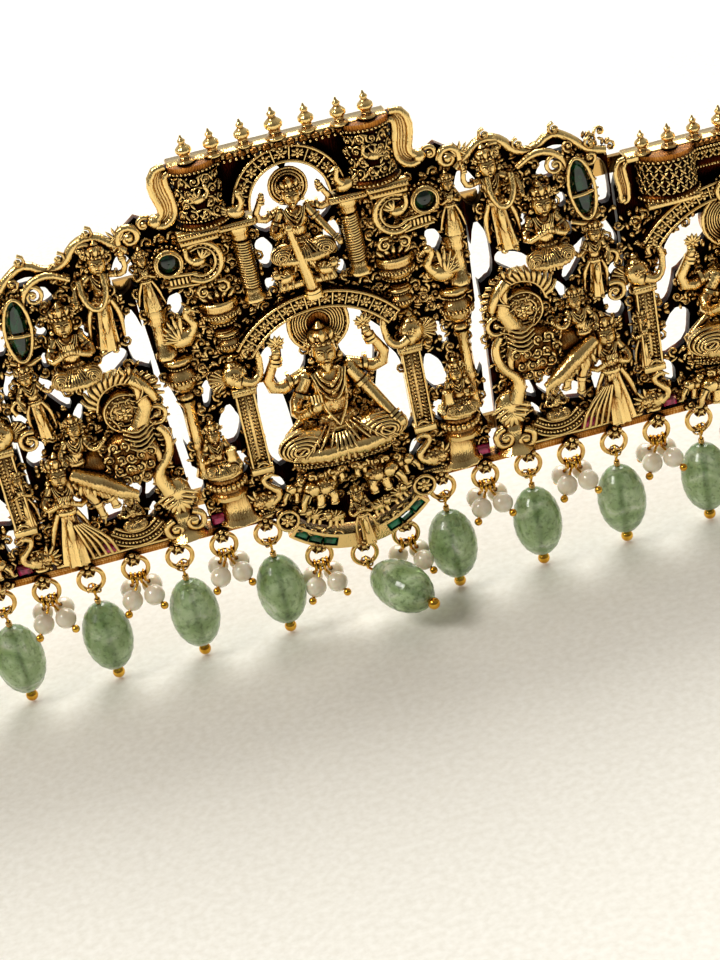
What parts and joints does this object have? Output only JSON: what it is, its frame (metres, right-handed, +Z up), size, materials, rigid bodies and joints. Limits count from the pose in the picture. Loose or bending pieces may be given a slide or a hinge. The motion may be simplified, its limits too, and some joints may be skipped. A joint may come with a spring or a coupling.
{
  "type": "oddiyanam waist belt",
  "caption": "Stiff openwork gold waist belt with raised shrine figures, green and red stones, bead and pearl drops below, and a link chain that closes behind the waist.",
  "frame": {"origin": "middle of the waist hollow, halfway up the rider panels", "axes": "+X to the right along the stiff front as its wearer's viewer sees it, -Y out of the front's face, +Z up"},
  "size_m": [0.2496, 0.2265, 0.0884],
  "materials": {
    "panel_gold": "antique gold plate, dark in the hollows",
    "shelf_gold": "antique gold plate, dark in the hollows",
    "rail_gold": "antique gold plate",
    "strap_gold": "plain dull gold plate",
    "ring_gold": "bright gold plate",
    "pin_gold": "polished gold plate",
    "chain_gold": "antique gold plate",
    "plate_gold": "plain dull gold plate",
    "green_cabochon": "dark green polished glass",
    "green_leaf": "dark green polished glass",
    "green_baguette": "dark green cut glass",
    "red_stone": "deep pink-red cut glass",
    "pearl": "cream pearl lustre",
    "green_bead": "milky mottled green stone, polished"
  },
  "bodies": {
    "root": {"centre_shrine": "panel_gold", "rider_panel_left": "panel_gold", "rider_panel_right": "panel_gold", "arch_panel_left": "panel_gold", "arch_panel_right": "panel_gold", "finial_shelf_centre": "shelf_gold", "finial_shelf_left": "shelf_gold", "finial_shelf_right": "shelf_gold", "foot_rail_left": "rail_gold", "foot_rail_right": "rail_gold", "bottom_arc": "rail_gold", "seam_strap_1": "strap_gold", "seam_strap_2": "strap_gold", "seam_strap_3": "strap_gold", "seam_strap_4": "strap_gold", "cabochon_1": "green_cabochon", "cabochon_2": "green_cabochon", "cabochon_3": "green_cabochon", "cabochon_4": "green_cabochon", "leaf_left_upper": "green_leaf", "leaf_left_lower": "green_leaf", "leaf_right_upper": "green_leaf", "leaf_right_lower": "green_leaf", "arc_baguettes_left": "green_baguette", "arc_baguettes_right": "green_baguette", "rail_rubies_left": "red_stone", "rail_rubies_right": "red_stone", "jump_rings_left": "ring_gold", "jump_rings_right": "ring_gold", "head_pins_left": "pin_gold", "head_pins_right": "pin_gold", "pearls_left": "pearl", "pearls_right": "pearl", "green_bead_1": "green_bead", "green_bead_2": "green_bead", "green_bead_3": "green_bead", "green_bead_4": "green_bead", "green_bead_5": "green_bead", "green_bead_6": "green_bead", "green_bead_7": "green_bead", "green_bead_8": "green_bead", "green_bead_9": "green_bead", "green_bead_10": "green_bead", "green_bead_11": "green_bead", "end_plate_left": "plate_gold", "end_plate_right": "plate_gold", "back_chain_left": "chain_gold", "back_chain_right": "chain_gold", "chain_hook": "plate_gold"}
  },
  "joints": []
}
